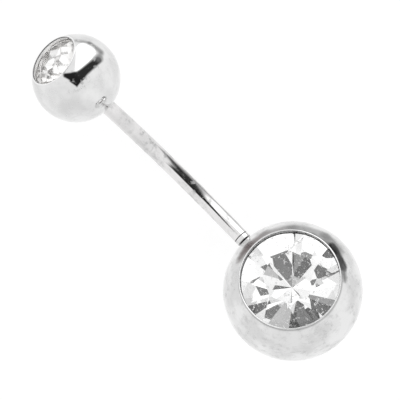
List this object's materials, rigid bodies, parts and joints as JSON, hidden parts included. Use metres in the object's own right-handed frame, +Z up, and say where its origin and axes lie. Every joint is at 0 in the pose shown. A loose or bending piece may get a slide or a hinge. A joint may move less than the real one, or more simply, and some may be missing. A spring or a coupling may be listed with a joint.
{
  "type": "navel ring",
  "caption": "Curved bar with a small round ball at one end and a large round ball at the other, a clear cut stone set in each ball; the small ball comes off its threaded end.",
  "frame": {"origin": "on the surface that the ring rests on, under the middle of its bounding box", "axes": "+X from the small ball to the large ball, +Z up, +Y to the side that the bend leans towards at its lowest point"},
  "size_m": [0.0238, 0.008, 0.0078],
  "materials": {
    "bar_steel": "polished",
    "ball_steel": "polished",
    "stone": "gloss"
  },
  "bodies": {
    "ring": {"bar": "bar_steel", "bottom_ball": "ball_steel", "bottom_stone": "stone"},
    "top": {"top_ball": "ball_steel", "top_stone": "stone"}
  },
  "joints": [
    {"name": "top_ball_off", "type": "slide", "parent": "ring", "child": "top", "axis": [-0.9301, -0.0777, 0.3591], "range_m": [0, 0.0024]}
  ]
}
